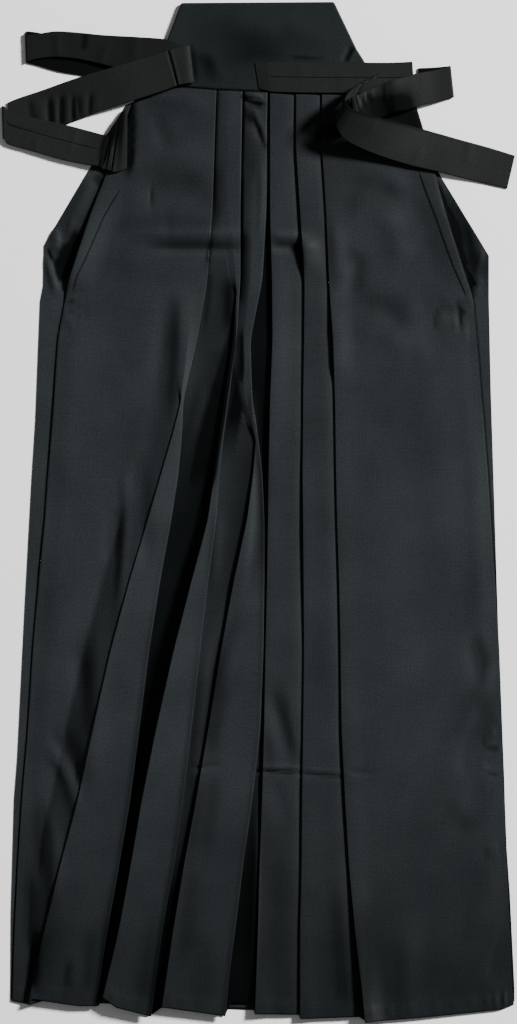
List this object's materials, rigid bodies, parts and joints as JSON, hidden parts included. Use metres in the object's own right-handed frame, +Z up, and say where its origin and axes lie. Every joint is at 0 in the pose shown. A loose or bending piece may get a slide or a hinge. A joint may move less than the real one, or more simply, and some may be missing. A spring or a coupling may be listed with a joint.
{
  "type": "hakama trousers",
  "caption": "Pleated formal divided trousers laid flat, with a stiffened back board and folded waist ties",
  "frame": {"origin": "the middle of the footprint, on the surface that the garment lies on", "axes": "+Z up out of the front of the garment, +Y from hem to waist, +X to the wearer's left"},
  "size_m": [0.5134, 1.02, 0.0284],
  "materials": {
    "hakama_cloth": "black plain weave with a faint satin sheen",
    "board_cloth": "black plain weave pulled flat over a stiff board",
    "tie_cloth": "black plain weave folded to four layers and stitched"
  },
  "bodies": {
    "root": {"front_leg_right": "hakama_cloth", "front_leg_left": "hakama_cloth", "back_leg_right": "hakama_cloth", "back_leg_left": "hakama_cloth", "koshiita": "board_cloth", "tie_right_upper": "tie_cloth", "tie_right_crossing": "tie_cloth", "tie_right_lower": "tie_cloth", "tie_waist": "tie_cloth", "tie_left_short": "tie_cloth", "tie_left_loop": "tie_cloth"}
  },
  "joints": []
}
